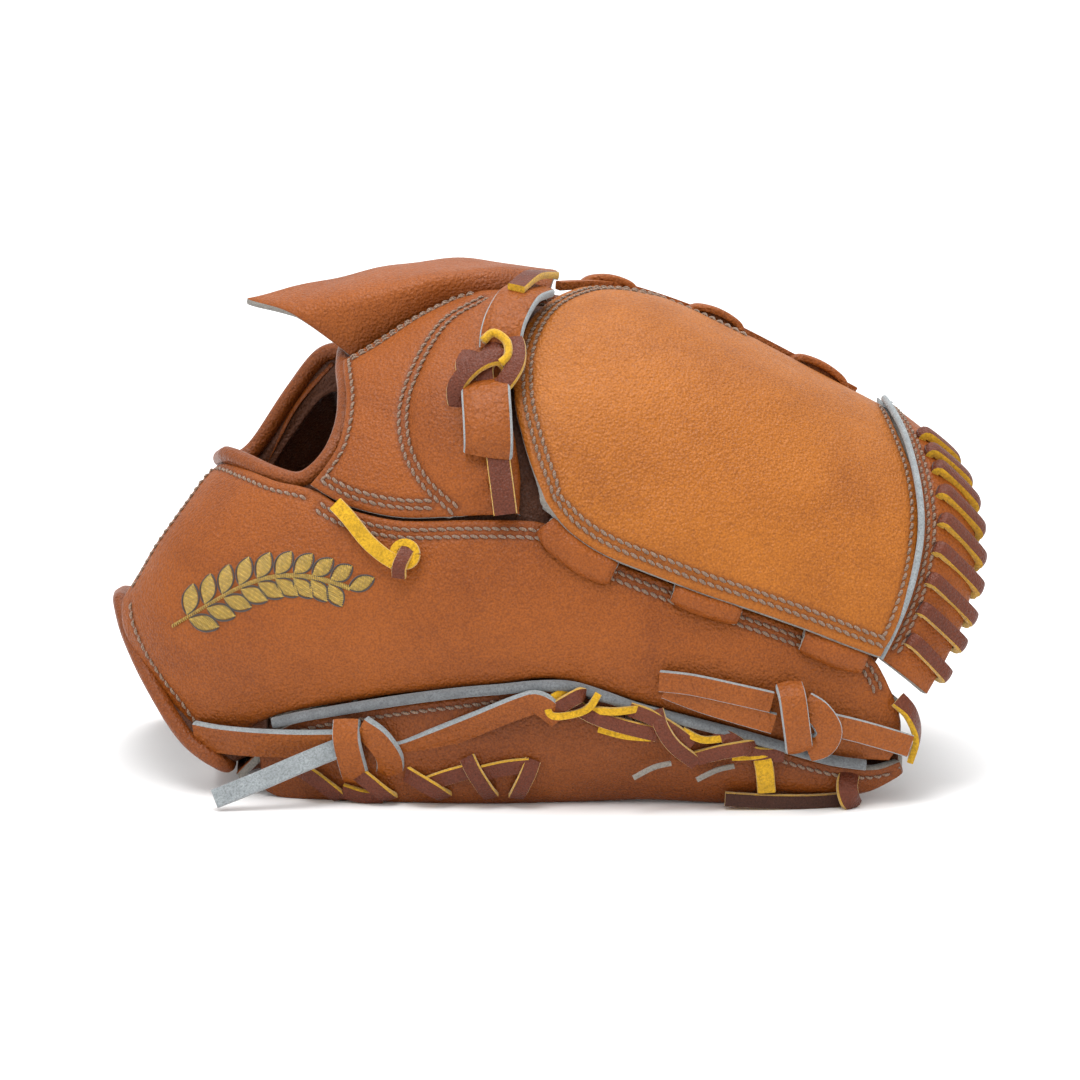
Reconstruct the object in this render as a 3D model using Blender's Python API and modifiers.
"""A left-hand pitcher's baseball glove with a closed web, lying palm down.

The glove is laid out in its own upright frame, in millimetres: x runs from the wrist to
the top of the web, y from the thumb side to the little finger, and h upwards. The whole
glove is then leaned back by LEAN, so that it rests on its heel, the thumb's rim and the
little finger's rim, and is set down with its lowest point on z = 0.
"""

import math

import bmesh
import bpy
import numpy as np
from mathutils import Matrix, Vector

for thing in list(bpy.data.objects):
    bpy.data.objects.remove(thing)
glove = bpy.data.collections.new("baseball_glove")
bpy.context.scene.collection.children.link(glove)

MM = 0.001
LEAN = math.radians(12)

# Driving dimensions, in millimetres.
LEATHER = 3.0
WEB_LEATHER = 2.4
LINING = 1.6
FELT = 4.0
LACE_WIDTH = 6.5
LACE_THICK = 2.4
OPENING_BINDING_R = 2.0
WRIST_BINDING_R = 2.2
WELT_R = 1.3
CLEAR = 0.5
FINGER_GAP = 1.2

# The thumb-side wall of the glove, by stations along x: where its silhouette tops out,
# where it bulges most towards the thumb side, and where it meets the palm-side seam.
WALL_X = [-152, -130, -105, -75, -40, -5, 30, 65, 100, 125, 143, 152]
CREST_H = [64, 97, 120, 146, 165, 173, 171.5, 159.5, 141.5, 127.5, 112, 94]
CREST_Y = [10, 13, 12, 2, 3, 6, 11, 16, 20, 21, 10, -4]
BULGE_H = [52, 56, 58, 62, 63, 64, 62, 56, 50, 48, 54, 66]
BULGE_Y = [-6, -29, -43, -53, -60, -63, -62, -59, -53, -46, -36, -24]
SEAM_H = [40, 20, 13.5, 23.5, 29, 33, 27, 17.5, 7, 4, 20, 38]
SEAM_Y = [-3, -19, -30, -42, -51, -56, -56, -53, -47, -41, -30, -20]

# Where the leaned glove stands: its lowest points are pressed flat on z = 0.
FLOOR_GAP = 1.5
CENTRE_X = -0.8
CENTRE_Y = -31.5

# The lines that the moving pieces turn on. The thumb side closes on a line from the heel's
# thumb corner to the web's crotch, the web folds along the index finger, and the finger
# flap lifts on its sewn edge.
HINGES = {
    "pocket_close": ((-100, -34, 2), (1.4, -47, 89)),
    "web_fold": ((0, 5, 168), (118, 24, 131)),
    "flap_lift": ((-67, -6, 148), (-5, 3, 175)),
}
TURNS_ON = {
    "thumb_back": "pocket_close",
    "thumb_bottom_lace": "pocket_close",
    "thumb_lace": "pocket_close",
    "thumb_pad": "pocket_close",
    "thumb_palm": "pocket_close",
    "thumb_tip_lace": "pocket_close",
    "thumb_welt": "pocket_close",
    "heel_lace": "pocket_close",
    "thumb_tie_web_knot": "pocket_close",
    "thumb_tie_web_left": "pocket_close",
    "thumb_tie_web_right": "pocket_close",
    "thumb_tie_wrist_knot": "pocket_close",
    "thumb_tie_wrist_left": "pocket_close",
    "thumb_tie_wrist_right": "pocket_close",
    "thumb_tie_wrist_tail": "pocket_close",
    "web_back": "web_fold",
    "web_end_strip": "web_fold",
    "web_end_welt": "web_fold",
    "web_front": "web_fold",
    "web_tab_1": "web_fold",
    "web_tab_2": "web_fold",
    "web_tab_3": "web_fold",
    "web_top_lace": "web_fold",
    "web_whip_lace": "web_fold",
    "finger_flap": "flap_lift",
}


def curve_through(values, count):
    """count points, evenly spaced by index, on a Catmull-Rom curve through the values."""
    p = np.array(values, float)
    if p.ndim == 1:
        p = p[:, None]
    last = len(p) - 1
    out = []
    for t in np.linspace(0, last, count):
        i = min(int(t), last - 1)
        f = t - i
        a = p[max(i - 1, 0)]
        b, c = p[i], p[i + 1]
        d = p[min(i + 2, last)]
        m0, m1 = (c - a) / 2, (d - b) / 2
        f2, f3 = f * f, f * f * f
        ends = (2 * f3 - 3 * f2 + 1) * b + (3 * f2 - 2 * f3) * c
        out.append(ends + (f3 - 2 * f2 + f) * m0 + (f3 - f2) * m1)
    return np.array(out)


FINE_X = curve_through(WALL_X, 201)[:, 0]
FINE = {
    name: curve_through(values, 201)[:, 0]
    for name, values in {
        "crest_h": CREST_H,
        "crest_y": CREST_Y,
        "bulge_h": BULGE_H,
        "bulge_y": BULGE_Y,
        "seam_h": SEAM_H,
        "seam_y": SEAM_Y,
    }.items()
}


def wall_y(x, h):
    """The depth of the thumb-side wall at x and h: an arch above its bulge, a tuck below it."""
    at = {name: float(np.interp(x, FINE_X, values)) for name, values in FINE.items()}
    if h >= at["bulge_h"]:
        u = min((h - at["bulge_h"]) / (at["crest_h"] - at["bulge_h"]), 0.999)
        return at["crest_y"] - (at["crest_y"] - at["bulge_y"]) * (1 - u**2.15) ** (1 / 2.15)
    u = (at["bulge_h"] - h) / (at["bulge_h"] - at["seam_h"])
    return at["bulge_y"] + (at["seam_y"] - at["bulge_y"]) * min(u, 1.6) ** 2


def on_wall(x, h, lift=0.0):
    """The point of the wall at x and h, moved out of the wall by lift."""
    e = 1.0
    y = wall_y(x, h)
    slope_x = (wall_y(x + e, h) - wall_y(x - e, h)) / (2 * e)
    slope_h = (wall_y(x, h + e) - wall_y(x, h - e)) / (2 * e)
    normal = np.array([slope_x, -1.0, slope_h])
    normal /= np.linalg.norm(normal)
    return np.array([x, y, h]) + lift * normal


def wall_patch(bottom, top, across, along, bow=None, lift=(0.0, 0.0)):
    """Rows of points on the wall between a bottom and a top outline, given as matched (x, h) pairs.
    bow moves the middle of each row along x, and lift runs from the bottom edge to the top."""
    low, high = curve_through(bottom, along), curve_through(top, along)
    bows = curve_through(bow or [0, 0], along)[:, 0]
    rows = []
    for a, b, sway in zip(low, high, bows):
        row = []
        for t in np.linspace(0, 1, across):
            x, h = a + (b - a) * t
            row.append(on_wall(x + sway * 4 * t * (1 - t), h, lift[0] + (lift[1] - lift[0]) * t))
        rows.append(row)
    return np.array(rows)


def loft(ribs, across, along):
    """Rows of points on the surface through ribs that have matched points."""
    fine = np.array([curve_through(rib, across) for rib in ribs])
    columns = [curve_through(fine[:, k], along) for k in range(across)]
    return np.array(columns).transpose(1, 0, 2)


def finger_rows(side_a, ridge, side_b, across, along, gap_a=FINGER_GAP, gap_b=FINGER_GAP):
    """Rows over the back of a finger stall, arching from one side line over the ridge to the other."""
    a, r, b = (curve_through(line, along) for line in (side_a, ridge, side_b))
    rows = []
    for p, q, s in zip(a, r, b):
        width = max(np.linalg.norm(s - p), 1.0)
        rise = q - (p + s) / 2
        row = []
        for t in np.linspace(gap_a / width, 1 - gap_b / width, across):
            row.append(p + (s - p) * t + rise * math.sin(math.pi * t) ** 0.65)
        rows.append(row)
    return np.array(rows)


def offset_rows(rows, distance):
    """The rows moved along the surface's own normal."""
    du = np.gradient(rows, axis=0)
    dv = np.gradient(rows, axis=1)
    normal = np.cross(du, dv)
    normal /= np.linalg.norm(normal, axis=2, keepdims=True)
    return rows + distance * normal


def to_world(point):
    """A point of the glove's upright frame, leaned back and set down, in metres."""
    x, y, h = (float(v) for v in point)
    c, s = math.cos(LEAN), math.sin(LEAN)
    return Vector((x + CENTRE_X, y * c + h * s + CENTRE_Y, max(h * c - y * s + FLOOR_GAP, 0))) * MM


def paint(name, colour, roughness, metallic=0.0):
    """A plain material."""
    material = bpy.data.materials.new(name)
    material.use_nodes = True
    shader = material.node_tree.nodes["Principled BSDF"]
    shader.inputs["Base Color"].default_value = (*colour, 1)
    shader.inputs["Roughness"].default_value = roughness
    shader.inputs["Metallic"].default_value = metallic
    return material


def add_object(name, mesh, material):
    mesh.materials.append(material)
    mesh.shade_smooth()
    mesh.set_sharp_from_angle(angle=math.radians(40))
    made = bpy.data.objects.new(name, mesh)
    glove.objects.link(made)
    return made


def sheet(name, rows, thickness, material):
    """A leather panel: the rows are its outer face, and Solidify gives it its thickness behind them."""
    count, across = rows.shape[:2]
    bm = bmesh.new()
    verts = [[bm.verts.new(to_world(p)) for p in row] for row in rows]
    for i in range(count - 1):
        for j in range(across - 1):
            bm.faces.new((verts[i][j], verts[i + 1][j], verts[i + 1][j + 1], verts[i][j + 1]))
    mesh = bpy.data.meshes.new(name)
    bm.to_mesh(mesh)
    bm.free()
    made = add_object(name, mesh, material)
    solidify = made.modifiers.new("thickness", "SOLIDIFY")
    solidify.thickness = thickness * MM
    solidify.offset = -1
    return made


def tube(name, points, radius, material, cyclic=False, count=None, sides=3):
    """A round cord, roll or welt along a smooth curve through the points."""
    if cyclic:
        wrapped = [points[-1], *points, points[0], points[1]]
        line = curve_through(wrapped, (len(wrapped) - 1) * 3 + 1)[3:-6]
    else:
        line = curve_through(points, count or len(points) * 3)
    curve = bpy.data.curves.new(name, "CURVE")
    curve.dimensions = "3D"
    curve.bevel_depth = radius * MM
    curve.bevel_resolution = sides - 1
    curve.use_fill_caps = not cyclic
    spline = curve.splines.new("POLY")
    spline.points.add(len(line) - 1)
    for slot, p in zip(spline.points, line):
        slot.co = (*to_world(p), 1)
    spline.use_cyclic_u = cyclic
    curve.materials.append(material)
    made = bpy.data.objects.new(name, curve)
    glove.objects.link(made)
    return made


def ribbon(name, points, outs, width, thick, material, count=None):
    """A flat lace or strap along a curve through the points. outs are the directions that its
    flat side faces, one for each point."""
    count = count or len(points) * 2
    line, out = curve_through(points, count), curve_through(outs, count)
    run = np.gradient(line, axis=0)
    bm = bmesh.new()
    rings = []
    for p, o, r in zip(line, out, run):
        r = r / np.linalg.norm(r)
        side = np.cross(r, o)
        side /= np.linalg.norm(side)
        up = np.cross(side, r)
        corners = [(-1, -1), (1, -1), (1, 1), (-1, 1)]
        rings.append(
            [bm.verts.new(to_world(p + side * a * width / 2 + up * b * thick / 2)) for a, b in corners]
        )
    for first, second in zip(rings, rings[1:]):
        for k in range(4):
            n = (k + 1) % 4
            bm.faces.new((first[k], first[n], second[n], second[k]))
    bm.faces.new(rings[0][::-1])
    bm.faces.new(rings[-1])
    bmesh.ops.recalc_face_normals(bm, faces=bm.faces)
    mesh = bpy.data.meshes.new(name)
    bm.to_mesh(mesh)
    bm.free()
    return add_object(name, mesh, material)


def wall_ribbon(name, trail, lift, material, width=LACE_WIDTH, thick=LACE_THICK, count=None):
    """A ribbon that lies flat over the thumb-side wall, through (x, h) points."""
    points = [on_wall(x, h, lift) for x, h in trail]
    outs = [on_wall(x, h, 1.0) - on_wall(x, h, 0.0) for x, h in trail]
    return ribbon(name, points, outs, width, thick, material, count)



tan = paint("tan_leather", (0.42, 0.16, 0.045), 0.45)
web_tan = paint("web_leather", (0.52, 0.22, 0.07), 0.42)
flesh = paint("leather_flesh_side", (0.32, 0.33, 0.33), 0.9)
wool = paint("wool_fleece", (0.55, 0.5, 0.42), 0.95)
felt = paint("felt_padding", (0.62, 0.6, 0.55), 0.95)
liner = paint("lining_leather", (0.30, 0.14, 0.06), 0.6)
brown = paint("brown_lace", (0.16, 0.055, 0.018), 0.5)
yellow = paint("yellow_lace", (0.78, 0.42, 0.02), 0.55)
welting = paint("grey_welt", (0.18, 0.15, 0.13), 0.7)

# The pocket: ribs over the hand's side of the palm leather, from the thumb's edge across the
# palm to the little finger's rim, beginning at the heel and ending at the finger tips.
PALM = [
    [(-107, -27, 1), (-107, -8, 4), (-107, 12, 7), (-107, 30, 10), (-107, 46, 13), (-106, 58, 15.5),
     (-105, 67, 17), (-104, 75, 18.5), (-103, 82, 21.5)],
    [(-88, -30, 18), (-86, -10, 9), (-86, 14, 8), (-86, 34, 11), (-86, 52, 14.3), (-85, 66, 17),
     (-84, 76, 18.8), (-84, 84, 20), (-83, 90, 22.5)],
    [(-63, -31, 37), (-62, -10, 28), (-61, 14, 24), (-61, 36, 24), (-60, 56, 25), (-60, 70, 26),
     (-60, 80, 25), (-60, 88, 23.5), (-60, 95, 22.2)],
    [(-41, -33, 56), (-41, -10, 60), (-41, 14, 62), (-40, 36, 59), (-40, 54, 52), (-40, 68, 43),
     (-40, 78, 34), (-40, 86, 27), (-40, 92, 21.2)],
    [(-15, -37, 78.5), (-13, -8, 97), (-12, 22, 102), (-11, 44, 92), (-11, 60, 78), (-11, 71, 62),
     (-11, 79, 47), (-11, 85, 32), (-11, 90, 20.3)],
    [(4, -27, 118), (8, 8, 136), (10, 37, 134), (10, 54, 121), (10, 66, 104), (10, 76, 86),
     (10, 82, 66), (10, 86, 42), (10, 89, 20.1)],
    [(40, -5, 145), (41, 17, 143), (42, 34, 129), (43, 49, 115), (45, 61, 98), (45, 70, 81),
     (45, 76, 62), (45, 81, 40), (45, 86, 19.7)],
    [(85, 2, 129), (85, 22, 127), (85, 39, 112), (86, 52, 99), (88, 62, 81), (88, 68, 69),
     (88, 72, 55), (86, 78, 37), (85, 82, 19)],
    [(115, 9, 109), (116, 25, 107), (118, 37, 95), (120, 46, 86), (121, 53, 75), (121, 58, 66),
     (119, 62, 55), (114, 67, 46), (108, 72, 33)],
    [(128, 13, 98), (133, 22, 96), (139, 30, 89), (142, 37, 83), (143, 43, 75), (141, 48, 66),
     (137, 53, 58), (130, 60, 50), (122, 66, 40)],
]

# The finger stalls: each line runs from the knuckles to the finger tip. SEAMS lie between the
# fingers, and RIDGES run along the middle of each finger's back.
SEAMS = [
    [(-57, 5, 152), (-25, 7, 163), (5, 2, 156), (40, -3, 149),
     (85, 4, 133), (115, 11, 113), (128, 15, 102)],
    [(-60, 38, 147), (-25, 42, 150), (10, 39, 138), (42, 36, 133),
     (85, 41, 116), (118, 39, 99), (138, 32, 93)],
    [(-62, 72, 126), (-25, 78, 124), (10, 69, 108), (45, 64, 102),
     (88, 65, 85), (121, 56, 79), (142, 46, 79)],
    [(-64, 98, 84), (-25, 98, 78), (10, 86, 70), (45, 80, 66), (88, 76, 59), (119, 66, 59), (136, 57, 62)],
    [(-63, 101, 25), (-25, 99, 23), (10, 94, 22), (45, 91, 22), (85, 87, 24), (108, 77, 37), (121, 70, 44)],
]
RIDGES = [
    [(-58, 20, 153), (-25, 22, 167), (8, 24, 168), (42, 26, 161),
     (85, 30, 145), (115, 29, 127), (131, 24, 106)],
    [(-62, 54, 140), (-25, 63, 150), (10, 68, 145), (45, 69, 137),
     (88, 72, 121), (124, 62, 102), (146, 40, 90)],
    [(-63, 90, 108), (-25, 98, 108), (10, 100, 100), (45, 97, 93),
     (88, 95, 80), (122, 80, 71), (144, 54, 72)],
    [(-64, 104, 62), (-25, 112, 56), (10, 113, 54), (45, 110, 51),
     (85, 103, 47), (110, 88, 47), (126, 67, 55)],
]
FINGERS = ["index", "middle", "ring", "pinky"]

# The thumb's palm side: ribs from the seam along the thumb's top edge, down the inside, round
# the rim and up to the welt.
THUMB_PALM = [
    [(-97, -30, 2), (-97, -29, 0.5), (-97, -27.5, -1.5), (-97, -27, -4), (-97, -28, -5), (-97, -30, -3),
     (-98, -31.5, 2), (-99, -33, 10)],
    [(-84, -31, 11), (-84, -29, 7), (-84, -27, 2), (-84, -26, -4), (-84, -29, -9.5), (-84, -34, -4),
     (-85, -37, 6), (-86, -38.5, 18)],
    [(-60, -32, 31), (-60, -30, 22), (-60, -27, 10), (-60, -26, -3), (-60, -31, -10.5), (-60, -39, -5),
     (-60, -45, 8), (-60, -47, 23)],
    [(-30, -35, 57), (-30, -31, 42), (-30, -29, 20), (-30, -27, -3), (-30, -33, -10.8), (-30, -43, -5.5),
     (-30, -50, 8), (-30, -53, 27)],
    [(-1, -42, 81), (0, -34, 62), (0, -31, 30), (0, -28, -2), (0, -34, -10), (0, -44, -4.5),
     (0, -52, 9), (0, -56, 29.5)],
    [(30, -57, 68), (30, -44, 62), (30, -34, 34), (30, -31, 0), (30, -36, -8), (30, -44, -3),
     (30, -52, 7), (30, -56, 23.5)],
    [(65, -54.5, 57), (65, -42, 52), (65, -34, 28), (65, -32, 0), (65, -37, -9), (65, -44, -4.5),
     (65, -50, 3), (65, -53, 14)],
    [(95, -48, 46), (95, -38, 42), (95, -32, 24), (95, -31, 2), (95, -35, -6), (95, -40, -6.5),
     (95, -45, -3), (95, -48, 5)],
    [(114, -42.5, 37), (114, -36, 34), (114, -31, 20), (114, -30, 3), (114, -33, -5), (114, -37, -6),
     (114, -40, -3), (115, -43.5, 1.5)],
    [(125, -40.3, 27), (125, -38.5, 24), (125.5, -37, 16), (126, -37, 8), (126, -37, 3), (126, -38, 0.5),
     (126, -39, 2), (125, -40.5, 4.5)],
]


def finger_stalls():
    stalls = []
    for k, finger in enumerate(FINGERS):
        rows = finger_rows(SEAMS[k], RIDGES[k], SEAMS[k + 1], 8, 14)
        sheet(f"{finger}_back", rows, LEATHER, tan)
        stalls.append(rows)
    for k, row in enumerate((10, 11, 10)):
        near, far = stalls[k][row], stalls[k + 1][row]
        near_up, far_up = offset_rows(stalls[k], 1.0)[row] - near, offset_rows(stalls[k + 1], 1.0)[row] - far
        across = near_up[6] + far_up[1]
        across /= np.linalg.norm(across)
        points = [near[n] + near_up[n] * 3.4 for n in (4, 5, 6)]
        points.append((near[7] + far[0]) / 2 + across * 11)
        points += [far[n] + far_up[n] * 3.4 for n in (1, 2, 3)]
        outs = [*near_up[4:7], across, *far_up[1:4]]
        ribbon(f"lace_{FINGERS[k]}_to_{FINGERS[k + 1]}", points, outs, LACE_WIDTH, LACE_THICK, brown, 13)


def palm():
    sheet("palm_leather", loft(PALM, 17, 19), LEATHER, tan)
    fine = loft(PALM, 33, 37)
    sheet("palm_lining", offset_rows(fine, 2.4 + LINING)[1:17:3, 3:31:3], LINING, liner)
    padded = offset_rows(fine, 7.5 + 12)
    sheet("heel_pad_thumb", padded[3:9:2, 4:13:2], 12, felt)
    sheet("heel_pad_pinky", padded[3:9:2, 17:29:2], 12, felt)
    fingers = offset_rows(fine, 1.2 + FELT)
    for k, finger in enumerate(FINGERS):
        first = k * 8 + 2
        sheet(f"{finger}_pad", fingers[22:29:2, first:first + 5:2], FELT, felt)


def thumb_side():
    base_low = [(-146.8, 59.5), (-133.3, 32.5), (-111, 13), (-79, 25), (-42, 54), (-5, 85.5)]
    base_top = [(-146.3, 61.8), (-131, 87.5), (-113, 108.5), (-84, 99), (-49, 88.5), (-6, 87.5)]
    sheet("thumb_base_back", wall_patch(base_low, base_top, 9, 16), LEATHER, tan)
    low = [(-73, 26.5), (-49, 29.8), (-14, 33.8), (6.5, 35), (34.5, 26.8), (69.5, 17.6), (101, 8.5), (123, 7)]
    top = [(-70, 27.6), (-43, 50.3), (-8, 79.5), (8, 80), (34, 70.5), (69, 58.5), (101, 47.5), (124, 27)]
    sheet("thumb_back", wall_patch(low, top, 8, 16), LEATHER, tan)
    sheet("thumb_palm", loft(THUMB_PALM, 13, 19), LEATHER, tan)
    inside = offset_rows(loft(THUMB_PALM, 29, 37), -LEATHER - 1.8)
    sheet("thumb_pad", inside[20:31:2, 5:13:2], FELT, felt)
    welt = [(-87, 22), (-49, 28.7), (-14, 32.6), (6.5, 33.9), (34.5, 25.6), (69.5, 16.3), (101, 7.2)]
    tube("thumb_welt", [on_wall(x, h, 2.1) for x, h in welt], WELT_R, welting, count=16)


def thumb_ties():
    """The rawhide straps that tie the thumb: each is pulled through and knotted on itself."""
    left = [(-112, -37, 14), (-98, -42, 13.5), (-84, -46, 13.5), (-70, -51, 14)]
    right = [(-46, -57, 15), (-24, -61, 21), (-6, -62.5, 27), (6, -62, 22)]
    knot = [(-63, -54, 13.5), (-56, -57.5, 14), (-52, -57.5, 14)]
    face = (-0.3, -1, 0.1)
    ribbon("thumb_tie_wrist_left", left, [face] * 4, 9, 3, tan, 8)
    ribbon("thumb_tie_wrist_right", right, [(0, -1, 0.1)] * 4, 8, 3, tan, 8)
    ribbon("thumb_tie_wrist_knot", knot, [(-0.3, -1, 0.1)] * 3, 16, 7, tan, 5)
    tail = [(-68, -56, 6), (-84, -50, -1), (-100, -44, -4)]
    ribbon("thumb_tie_wrist_tail", tail, [face] * 3, 8, 3, flesh, 6)
    wall_ribbon("thumb_tie_web_left", [(42, 34), (54, 32), (66, 29.5), (77, 26)], 4.2, tan, 10, 3, 8)
    wall_ribbon("thumb_tie_web_right", [(101, 20), (110, 17), (117, 15), (123, 13.5)], 4.2, tan, 8, 3, 8)
    wall_ribbon("thumb_tie_web_knot", [(82, 24), (89, 22.5), (96, 21)], 6.5, tan, 17, 7, 5)


def thumb_laces():
    low = [(6, -61.5, 31), (22, -60.5, 25), (38, -59, 19), (54, -57.5, 13), (70, -55, 8)]
    ribbon("thumb_lace", low, [(0, -1, -0.2)] * 5, LACE_WIDTH, LACE_THICK, brown, 10)
    bottom = [(66, -47, -8.2), (80, -46, -8.6), (94, -44, -8.8), (108, -41, -8.4)]
    ribbon("thumb_bottom_lace", bottom, [(0, -1, -0.2)] * 4, 3.6, LACE_THICK, brown, 8)
    tip = [(125.5, -47.5, 24.5), (128.5, -45, 19), (129.5, -42, 13), (129, -39, 7)]
    ribbon("thumb_tip_lace", tip, [(1, -0.6, 0)] * 4, LACE_WIDTH, LACE_THICK, brown, 8)
    heel = [(-80, -40, -1), (-58, -44.5, 0), (-32, -50, 0), (-8, -51.5, 1.5)]
    ribbon("heel_lace", heel, [(0, -1, -0.25)] * 4, LACE_WIDTH, LACE_THICK, brown, 10)


def index_patches():
    """The leather round the base of the index finger, between the opening and the web."""
    inner = [(-25, 90.8), (-39, 102.5), (-46, 116.7), (-45, 134), (-34, 156), (-14, 170.5)]
    lip = [(-81, 99.8), (-73, 106.5), (-66, 117), (-64, 132.5), (-65.5, 141.5), (-67, 145)]
    sheet("index_base_patch", wall_patch(inner, lip, 7, 10), LEATHER, web_tan)
    crotch = [(-13, 90.3), (-11, 102.5), (-10.5, 117), (-12, 134), (-13, 152), (-11.5, 169)]
    seam = [(-23.6, 90.8), (-37.2, 102.8), (-44.2, 116.9), (-43.3, 133.4), (-32.6, 154.7), (-13.6, 168.7)]
    sheet("index_side_back", wall_patch(crotch, seam, 5, 10), LEATHER, tan)


def back_of_hand():
    ribs = [
        [(-127, 67, 45), (-122, 75, 34), (-117, 80.5, 26), (-111, 84.5, 22.5), (-104, 85.8, 21)],
        [(-110, 60, 90), (-106, 76, 68), (-102, 86, 48), (-99, 90.5, 31), (-95, 93.5, 21)],
        [(-92, 50, 128), (-86, 76, 102), (-83, 94, 70), (-82, 101, 44), (-81, 100.5, 22)],
        [(-76, 42, 147), (-70, 78, 121), (-68, 99, 86), (-67, 106, 54), (-66, 103, 22)],
    ]
    sheet("pinky_side_back", loft([rib[::-1] for rib in ribs[::-1]], 8, 10), LEATHER, tan)
    strap = [
        [(-147, 13, 62.5), (-140, 17, 74.5), (-131, 18, 89), (-123, 16, 100), (-116, 12, 107)],
        [(-145, 42, 63), (-137, 46, 75), (-129, 48, 88), (-120, 48, 99), (-112, 46, 107)],
        [(-140, 71, 52), (-132, 78, 62), (-123, 81, 74), (-113, 82, 86), (-102, 79, 95)],
        [(-134, 83, 35), (-126, 91, 44), (-116, 96, 53), (-105, 98, 62), (-94, 99, 70)],
        [(-130, 85, 27), (-121, 93, 34), (-111, 99, 41), (-101, 103, 48), (-90, 105, 54)],
    ]
    sheet("wrist_strap", loft([rib[::-1] for rib in strap], 6, 12), LEATHER, tan)
    under = offset_rows(loft([rib[::-1] for rib in strap], 11, 23), -LEATHER - CLEAR)
    sheet("strap_fleece", under[1:9:2, 2:9:2], 4, wool)


def bindings():
    """Rolled leather over the raw edges of the back opening and of the wrist."""
    opening = [
        (-111, -7, 112.5), (-104, -19, 110), (-94, -30, 105.5), (-85, -36, 103.2), (-78.5, -38, 106.5),
        (-72.5, -36, 114), (-69, -30, 124), (-68.5, -20, 134.5), (-69.5, -9, 142.5), (-69, 4, 150),
        (-67, 20, 153), (-69, 36, 151), (-79, 42, 148.5), (-90, 48, 135), (-103, 52, 116),
        (-111, 46, 110.5), (-113, 28, 111.5), (-113.5, 10, 111.5),
    ]
    tube("opening_binding", opening, OPENING_BINDING_R, tan, cyclic=True, sides=2)
    wrist = [
        (-149, 4, 61), (-145.2, -8, 49), (-136.3, -20, 31.5), (-124, -26.5, 13), (-111, -27, 4),
        (-110.8, 0, 6.5), (-110.8, 30, 12.8), (-110.3, 58, 18), (-112, 78, 19), (-125, 80, 20.5),
        (-134, 84, 27), (-138, 81, 36), (-143, 69, 52), (-147.4, 42, 62.5), (-149.6, 16, 62.5),
    ]
    tube("wrist_binding", wrist, WRIST_BINDING_R, tan, cyclic=True, sides=2)


def index_laces():
    """The rawhide that ties the web to the side of the index finger, and the anchor lace below it."""
    wall_ribbon("web_loop_upper", [(-5, 168), (-8, 160), (-8, 152)], 5.4, tan, 12, 3, 7)
    wall_ribbon("web_loop_knot", [(-19, 146), (-19.5, 139), (-19, 132)], 6.5, brown, 16, 6, 5)
    wall_ribbon("web_loop_lower", [(-17, 127), (-16, 117), (-14, 106)], 5.4, tan, 13, 3, 7)
    wall_ribbon("web_loop_tail", [(-14, 101), (-13, 96), (-14, 92)], 4.6, brown, LACE_WIDTH, LACE_THICK, 6)
    anchor = [(-70, 93), (-60, 85), (-51, 73), (-44, 77), (-42, 86)]
    wall_ribbon("anchor_lace", anchor, 2.6, yellow, 5.5, LACE_THICK, 12)


def flap():
    base = [(-66, -6, 150), (-49, -6, 162), (-32, -4, 172), (-14, 2, 176), (3, 8, 177)]
    middle = [(-86, 2, 159), (-61, 6, 170.5), (-41, 9, 177.5), (-20, 13, 180.5), (5, 16, 178)]
    edge = [(-103, 8, 168), (-74, 15, 176), (-49, 20, 181), (-24, 24, 182.5), (6, 24, 177)]
    sheet("finger_flap", loft([base, middle, edge][::-1], 12, 6), WEB_LEATHER, tan)


END_IN = [(119.5, 42.5), (124.5, 54.5), (129.5, 68), (132.8, 85), (131.6, 100), (127.6, 117), (121, 129.5)]
END_OUT = [(134.5, 35), (140, 46), (146.3, 64), (147.6, 80), (146.5, 96), (140.5, 109), (131, 121)]


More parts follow.
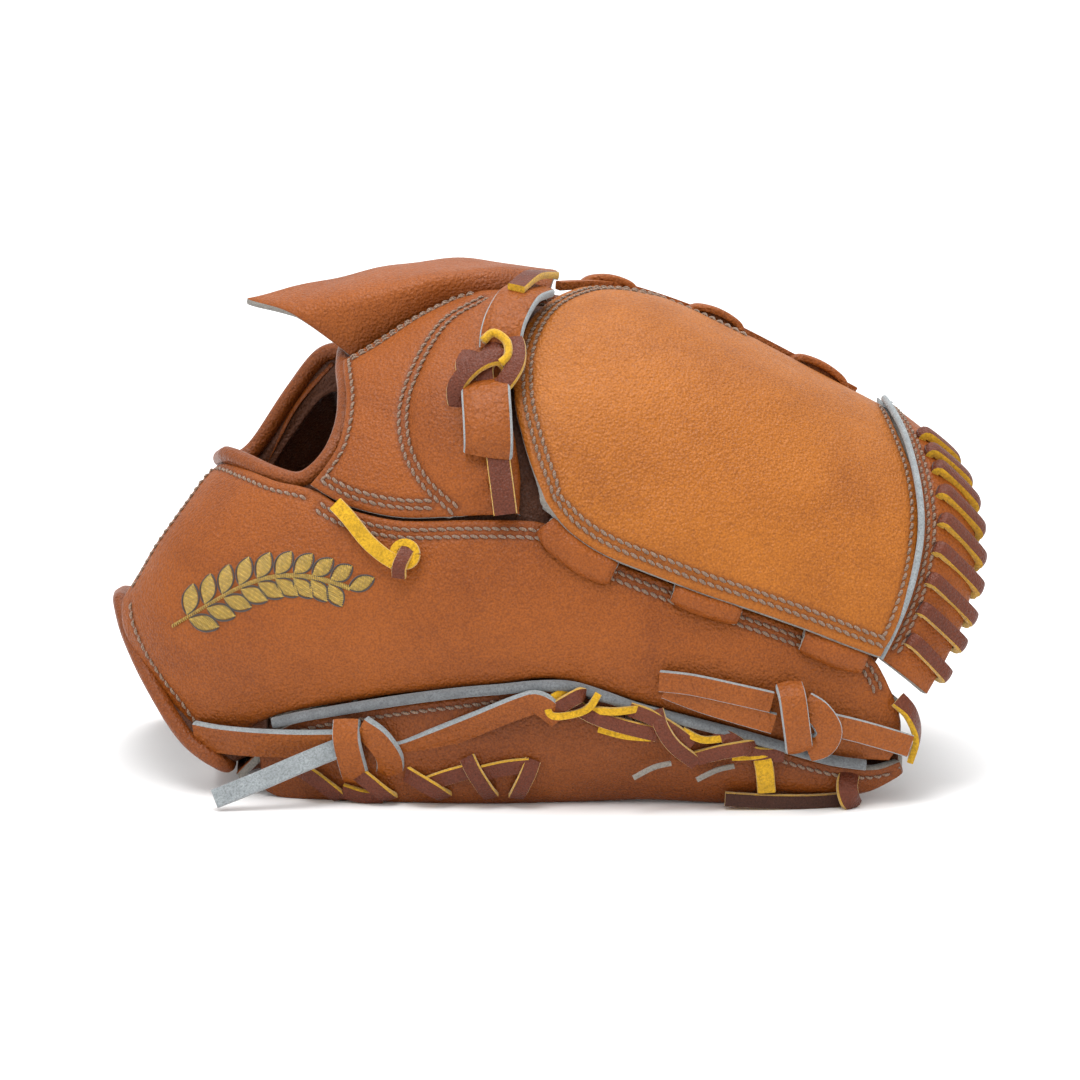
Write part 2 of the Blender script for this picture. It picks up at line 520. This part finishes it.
def web():
    low = [(2, 97), (20, 79.5), (55, 65), (90, 52.5), (115, 43.8)]
    top = [(-1, 169), (25, 171.3), (60, 161), (95, 143.5), (118, 130.8)]
    bow = [-8, -3, 0, 5, 13]
    rows = wall_patch(low, top, 10, 14, bow, lift=(4.2, 0.0))
    sheet("web_back", rows, WEB_LEATHER, web_tan)
    inner = wall_patch(low, top, 19, 27, bow, lift=(4.2, 0.0))
    sheet("web_front", offset_rows(inner, -WEB_LEATHER - 1.6)[1:26:3, 1:18:2], WEB_LEATHER, tan)
    sheet("web_end_strip", wall_patch(END_OUT, END_IN, 4, 12, lift=(1.0, 1.5)), LEATHER, tan)
    seam = [(x - 2.2, h) for x, h in END_IN]
    tube("web_end_welt", [on_wall(x, h, 6.0) for x, h in seam], WELT_R, welting, count=14)
    turns = []
    faces = []
    for k, (outer, inner) in enumerate(zip(curve_through(END_OUT, 9)[1:-1], curve_through(END_IN, 9)[1:-1])):
        hole = outer * 0.45 + inner * 0.55
        edge = outer + (outer - inner) / np.linalg.norm(outer - inner) * 3.8
        front, back = on_wall(*hole, 5.2), on_wall(*hole, -6.2)
        rim = on_wall(*edge, 0.0)
        out = on_wall(*hole, 1.0) - on_wall(*hole, 0.0)
        side = (rim - front) / np.linalg.norm(rim - front)
        loop = [(front, out), (rim + out * 3.4 - side * 2, out + side * 0.4), (rim, side)]
        loop += [(rim - out * 4.4 - side * 2, side * 0.4 - out), (back, -out)]
        for point, face in loop if k % 2 == 0 else loop[::-1]:
            turns.append(point)
            faces.append(face)
    ribbon("web_whip_lace", turns, faces, 5.0, 2.0, brown, len(turns) * 2 - 1)
    tabs = [((22, 83), (14, 71)), ((58, 67), (57, 56.5)), ((103, 50), (101, 40.5))]
    for k, (above, below) in enumerate(tabs):
        trail = [above, ((above[0] + below[0]) / 2, (above[1] + below[1]) / 2), below]
        wall_ribbon(f"web_tab_{k + 1}", trail, 8.0, tan, 18, WEB_LEATHER, 5)
    trim = [(8, 171), (35, 169), (62, 160.2), (90, 146), (112, 134.5)]
    top = [on_wall(x, h, 3.4) for x, h in trim]
    ribbon("web_top_lace", top, [(0, -0.5, 1)] * 5, 4.5, LACE_THICK, brown, 10)


def hang_on_hinges():
    """Parents each moving piece to an empty that sits on its hinge line, with Z along the line."""
    pivots = {}
    for name, (start, end) in HINGES.items():
        line = to_world(end) - to_world(start)
        pivot = bpy.data.objects.new(name, None)
        turn = line.to_track_quat("Z", "Y").to_matrix().to_4x4()
        pivot.matrix_world = Matrix.Translation(to_world(start)) @ turn
        glove.objects.link(pivot)
        pivots[name] = pivot
    bpy.context.view_layer.update()
    for name, hinge in TURNS_ON.items():
        piece = bpy.data.objects[name]
        piece.parent = pivots[hinge]
        piece.matrix_parent_inverse = pivots[hinge].matrix_world.inverted()


palm()
finger_stalls()
thumb_side()
thumb_ties()
thumb_laces()
index_patches()
back_of_hand()
bindings()
index_laces()
flap()
web()
hang_on_hinges()
